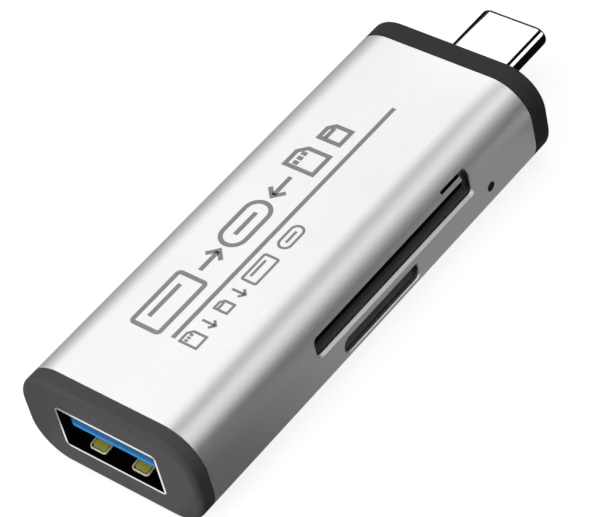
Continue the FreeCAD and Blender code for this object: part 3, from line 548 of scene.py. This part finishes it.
# Bright sheet steel: the two connector shells, the socket covers, the latches, the crystal can
steelFinishes = (
    dict(name="portSteel", metal=1.0, tone=(0.80, 0.86), roughness=(0.20, 0.30), wear=0.05, brush=1.0,
         nodes=("port_shell",)),
    dict(name="plugSteel", metal=1.0, tone=(0.80, 0.86), roughness=(0.04, 0.07), wear=0.08, brush=0.1,
         nodes=("plug_shell",)),
    dict(name="socketSteel", metal=0.5, tone=(0.22, 0.28), roughness=(0.36, 0.48), wear=0.05, brush=1.0,
         nodes=("card_socket_cover", "small_socket_cover", "plug_latches", "clock_crystal")),
)
steelSurface = dict(drift=150.0, lines=9000.0, stretch=(0.06, 1, 1), depth=0.0000006)
portBoreShade = dict(sheet=0.3, margin=0.02, tone=0.004, roughness=0.8)  # mm; painted shade: the inside of the port is painted near black


def sheetSteel(spec, surface):
    finish = Finish(spec["name"], Metallic=spec["metal"])
    low, high = spec["tone"]
    drift = finish.group(driftGroup, Scale=surface["drift"], First=grey(low), Second=grey(high))
    lines = finish.group(grainGroup, Scale=surface["lines"], Stretch=surface["stretch"])
    edge = finish.group(edgeGroup, Radius=spec["wear"] * mm)
    colour = drift["Color"]
    roughness = finish.span(lines["Mask"], *spec["roughness"])
    if spec["name"] == "portSteel":
        # painted shade: the port's inside walls get a near-black tone and a higher roughness
        inside = boreShadeMask(finish, portBoreShade)
        colour = finish.mix(inside, colour, grey(portBoreShade["tone"]))
        roughness = finish.blend(inside, roughness, portBoreShade["roughness"])
    finish.feed(
        Base_Color=colour,
        Roughness=roughness,
        Normal=finish.bump(lines["Height"], surface["depth"], spec["brush"], edge["Normal"]),
    )
    finish.dress(*spec["nodes"])


def boreShadeMask(finish, spec):  # 1 inside the walls of the port, where the painted shade goes, 0 on the rim of its mouth and outside
    low, high = [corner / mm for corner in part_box("port_shell")]
    cap = [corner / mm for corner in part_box("front_end_cap")]
    middle = (cap[0].z + cap[1].z) / 2
    rise = (high.z - low.z) / 2 - spec["sheet"] + spec["margin"]
    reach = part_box("port_tongue")[1].y / mm + spec["margin"] * 4
    return finish.boxMask(Y=(-reach, reach), Z=(middle - rise, middle + rise))


for steel in steelFinishes:
    sheetSteel(steel, steelSurface)

# Gold plate on the contacts, and a duller plate on the grip springs
goldFinishes = (
    dict(name="goldPlate", metal=1.0, deep=(0.62, 0.52, 0.16, 1), pale=(0.80, 0.66, 0.30, 1),
         roughness=(0.22, 0.34),
         nodes=("port_contacts", "port_pads", "plug_upper_contacts", "plug_lower_contacts",
                "card_socket_contacts", "small_socket_contacts")),
    dict(name="springPlate", metal=0.35, deep=(0.53, 0.53, 0.089, 1), pale=(0.61, 0.59, 0.12, 1),
         roughness=(0.30, 0.42), nodes=("grip_springs",)),
)
goldSurface = dict(  # the edge in mm
    drift=400.0, lines=12000.0, stretch=(0.1, 1, 1), depth=0.0000006, edge=0.05,
)
springFrameHighlight = dict(place=2.74, finger=0.9, start=0.21, tone=(0.90, 0.88, 0.66, 1))  # mm; the pale tone is a painted highlight on the frame round each finger


def goldPlate(spec, surface):
    finish = Finish(spec["name"], Metallic=spec["metal"])
    drift = finish.group(driftGroup, Scale=surface["drift"], First=spec["deep"], Second=spec["pale"])
    lines = finish.group(grainGroup, Scale=surface["lines"], Stretch=surface["stretch"])
    edge = finish.group(edgeGroup, Radius=surface["edge"] * mm)
    colour = drift["Color"]
    if spec["name"] == "springPlate":
        # painted highlight: the spring outside each finger is painted pale, where its cut edges catch the
        # light
        colour = finish.mix(fingerMask(finish, springFrameHighlight), springFrameHighlight["tone"], colour)
    finish.feed(
        Base_Color=colour,
        Roughness=finish.span(lines["Mask"], *spec["roughness"]),
        Normal=finish.bump(lines["Height"], surface["depth"], normal=edge["Normal"]),
    )
    finish.dress(*spec["nodes"])


def fingerMask(finish, spec):  # 1 on the finger inside the cut of either spring, 0 on its frame, which gets a painted highlight
    low, high = [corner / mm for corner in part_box("grip_springs")]
    fingers = []
    for place in (-spec["place"], spec["place"]):
        fingers.append(finish.boxMask(
            X=(low.x + spec["start"], high.x), Y=(place - spec["finger"], place + spec["finger"]),
        ))
    return finish.math("MAXIMUM", *fingers)


for gold in goldFinishes:
    goldPlate(gold, goldSurface)

# Moulded plastics and small packages, one row each
mouldedFinishes = (
    dict(name="tongueBlue", gloss=0.05, first=(0.001, 0.105, 0.282, 1), second=(0.003, 0.116, 0.309, 1),
         roughness=(0.30, 0.40), grain=5000.0, nodes=("port_tongue",),
         slope=("Z", 6.55, 6.2), far=(0.020, 0.289, 0.780, 1)),  # mm; painted light: paler toward the lower edge, where light falls, than higher up under the port's top wall
    dict(name="coreBlack", gloss=0.4, first=grey(0.010), second=grey(0.016),
         roughness=(0.35, 0.45), grain=5000.0, nodes=("plug_core",)),
    dict(name="socketBlack", gloss=0.4, first=grey(0.088), second=grey(0.112),
         roughness=(0.45, 0.60), grain=5000.0, nodes=("card_socket_base", "small_socket_base"),
         slope=("Y", -9.70, -9.55), far=grey(0.003)),  # mm; painted shade, near black behind the sill
    dict(name="packageBlack", gloss=0.4, first=grey(0.022), second=grey(0.032),
         roughness=(0.50, 0.65), grain=7000.0, nodes=("reader_chip", "power_switch", "resistors")),
    dict(name="ceramicTan", gloss=0.5, first=(0.36, 0.25, 0.14, 1), second=(0.46, 0.33, 0.20, 1),
         roughness=(0.40, 0.55), grain=7000.0, nodes=("capacitors",)),
    dict(name="boardMask", gloss=0.4, first=grey(0.026), second=grey(0.036),
         roughness=(0.28, 0.40), grain=3000.0, nodes=("main_board",)),
    dict(name="lampResin", gloss=0.5, first=(0.78, 0.80, 0.70, 1), second=(0.86, 0.88, 0.80, 1),
         roughness=(0.12, 0.20), grain=3000.0, nodes=("activity_light",)),
    dict(name="smokedLens", gloss=0.1, first=grey(0.002), second=grey(0.004),
         roughness=(0.20, 0.30), grain=3000.0, nodes=("light_window",)),
)
mouldedSurface = dict(drift=300.0, depth=0.0000015, edge=0.06)  # the edge in mm


def moulded(spec, surface):
    finish = Finish(spec["name"], Specular_IOR_Level=spec["gloss"])
    drift = finish.group(driftGroup, Scale=surface["drift"], First=spec["first"], Second=spec["second"])
    grain = finish.group(grainGroup, Scale=spec["grain"])
    edge = finish.group(edgeGroup, Radius=surface["edge"] * mm)
    colour = drift["Color"]
    # painted light and shade: a second tone graded in along one axis
    if "slope" in spec:
        colour = finish.mix(finish.slope(*spec["slope"]), colour, spec["far"])
    finish.feed(
        Base_Color=colour,
        Roughness=finish.span(grain["Mask"], *spec["roughness"]),
        Normal=finish.bump(grain["Height"], surface["depth"], normal=edge["Normal"]),
    )
    finish.dress(*spec["nodes"])


for plastic in mouldedFinishes:
    moulded(plastic, mouldedSurface)
print("finishes on", len(nodes), "nodes")

# Grey print on the top face: a rule with plain outline signs beside it
topPrint = dict(
    proud=0.012,  # mm above the tube
    sunk=0.05,  # mm into the tube's wall
    ruleWidth=0.5,
    ruleSpan=(-22.84, 12.8),  # mm along the reader
    rulePlace=-0.5,
    largeStroke=0.52,
    smallStroke=0.30,
    sharpest=0.4,  # share of the width, past which a mitre grows no longer
    tone=(0.255, 0.28),
    roughness=(0.45, 0.6),
    drift=500.0,
    grain=9000.0,
    grainDetail=1.0,
    grainDepth=0.000001,
)


def strokeMesh(path, width, top, low, closed):
    # A flat bar profile of four corners carried along the path, mitred where the path turns
    path = np.asarray(path, float)
    if closed:
        before = np.roll(path, 1, axis=0)
        after = np.roll(path, -1, axis=0)
    else:
        before = np.vstack([2 * path[0] - path[1], path[:-1]])
        after = np.vstack([path[1:], 2 * path[-1] - path[-2]])
    inward = path - before
    outward = after - path
    inward /= np.linalg.norm(inward, axis=1)[:, None]
    outward /= np.linalg.norm(outward, axis=1)[:, None]
    along = inward + outward
    along /= np.linalg.norm(along, axis=1)[:, None]
    side = np.stack([-along[:, 1], along[:, 0]], axis=1)
    mitre = np.sum(side * np.stack([-inward[:, 1], inward[:, 0]], axis=1), axis=1)
    side *= (width / 2 / np.clip(mitre, topPrint["sharpest"], 1.0))[:, None]
    count = len(path)
    heights = np.array([top, top, low, low])
    signs = np.array([1, -1, -1, 1])
    corners = np.empty((count, 4, 3))
    corners[:, :, :2] = path[:, None, :] + signs[None, :, None] * side[:, None, :]
    corners[:, :, 2] = heights[None, :]
    rows = np.arange(count if closed else count - 1)[:, None]
    cols = np.arange(4)[None, :]
    following = (rows + 1) % count
    nextCol = (cols + 1) % 4
    faces = np.stack(
        [rows * 4 + cols, rows * 4 + nextCol, following * 4 + nextCol, following * 4 + cols], axis=-1,
    ).reshape(-1, 4)
    if not closed:
        last = (count - 1) * 4
        ends = np.array([[3, 2, 1, 0], [last, last + 1, last + 2, last + 3]])
        faces = np.vstack([faces, ends])
    return corners.reshape(-1, 3), faces


def roundedPath(centre, size, radius, steps=6):  # a closed rounded rectangle, quarter circles at its corners
    half = np.array(size) / 2 - radius
    turns = np.linspace(0, math.pi / 2, steps)
    starts = np.arange(4) * math.pi / 2
    angles = (starts[:, None] + turns[None, :]).ravel()
    signs = np.array([[1, 1], [-1, 1], [-1, -1], [1, -1]])
    centres = np.repeat(signs * half, steps, axis=0)
    return np.array(centre) + centres + radius * np.stack([np.cos(angles), np.sin(angles)], axis=1)


def plugSign(x, y, scale):  # an oval mouth with a bar in it
    return [
        (roundedPath((x, y), (6.4 * scale, 2.9 * scale), 1.44 * scale, 10), True),
        ([(x - 1.7 * scale, y), (x + 1.7 * scale, y)], False),
    ]


def portSign(x, y, scale):  # a square-cornered mouth with a bar near its top
    return [
        (roundedPath((x, y), (7.4 * scale, 3.5 * scale), 0.35 * scale), True),
        ([(x - 2.4 * scale, y + 0.55 * scale), (x + 2.4 * scale, y + 0.55 * scale)], False),
    ]


def arrowSign(x, y, scale, turn):  # a straight arrow, turned about its middle
    angle = math.radians(turn)
    spin = np.array([[math.cos(angle), math.sin(angle)], [-math.sin(angle), math.cos(angle)]])
    shaft = np.array([(-1.5, 0), (1.35, 0)]) * scale
    head = np.array([(0.55, 1.0), (1.55, 0), (0.55, -1.0)]) * scale
    return [(shaft @ spin + (x, y), False), (head @ spin + (x, y), False)]


def cardSign(x, y, scale):  # a card outline with one cut corner and three contact marks
    outline = np.array([(-1.5, -1.9), (1.5, -1.9), (1.5, 1.0), (0.6, 1.9), (-1.5, 1.9)]) * scale
    marks = [
        (np.array([(place, 0.55), (place, 1.25)]) * scale + (x, y), False) for place in (-0.85, -0.1, 0.65)
    ]
    return [(outline + (x, y), True)] + marks


def printTop(spec):  # each sign at x and y in mm, its scale, and an arrow's turn in degrees
    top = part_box("shell_tube")[1].z / mm + spec["proud"]
    low = top - spec["proud"] - spec["sunk"]
    strokes = [([(spec["ruleSpan"][0], spec["rulePlace"]), (spec["ruleSpan"][1], spec["rulePlace"])],
                spec["ruleWidth"], False)]
    large = (
        portSign(-19.4, 2.9, 1.0) + arrowSign(-13.1, 2.9, 1.0, 0) + plugSign(-7.4, 2.9, 1.0)
        + arrowSign(-1.6, 2.9, 1.0, 180) + cardSign(2.6, 2.9, 0.95) + cardSign(6.9, 2.6, 0.7)
    )
    small = (
        cardSign(-22.0, -2.4, 0.55) + arrowSign(-19.6, -2.4, 0.55, -90) + cardSign(-17.2, -2.4, 0.42)
        + arrowSign(-15.0, -2.4, 0.55, -90) + portSign(-11.6, -2.4, 0.5) + plugSign(-6.7, -2.4, 0.5)
    )
    strokes += [(path, spec["largeStroke"], closed) for path, closed in large]
    strokes += [(path, spec["smallStroke"], closed) for path, closed in small]
    spots, faces, start = [], [], 0
    for path, width, closed in strokes:
        corners, quads = strokeMesh(path, width, top, low, closed)
        spots.append(corners)
        faces.append(quads + start)
        start += len(corners)
    mesh = bpy.data.meshes.new("top_print")
    mesh.from_pydata((np.vstack(spots) * mm).tolist(), [], np.vstack(faces).tolist())
    mesh.validate()
    piece = bpy.data.objects.new("top_print", mesh)
    bpy.context.scene.collection.objects.link(piece)
    finish = Finish("printInk")
    drift = finish.group(
        driftGroup, Scale=spec["drift"], First=grey(spec["tone"][0]), Second=grey(spec["tone"][1]),
    )
    grain = finish.group(grainGroup, Scale=spec["grain"], Detail=spec["grainDetail"])
    finish.feed(
        Base_Color=drift["Color"],
        Roughness=finish.span(grain["Mask"], *spec["roughness"]),
        Normal=finish.bump(grain["Height"], spec["grainDepth"]),
    )
    mesh.materials.append(finish.material)
    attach(piece, "root")


printTop(topPrint)
print("print laid on the top face")
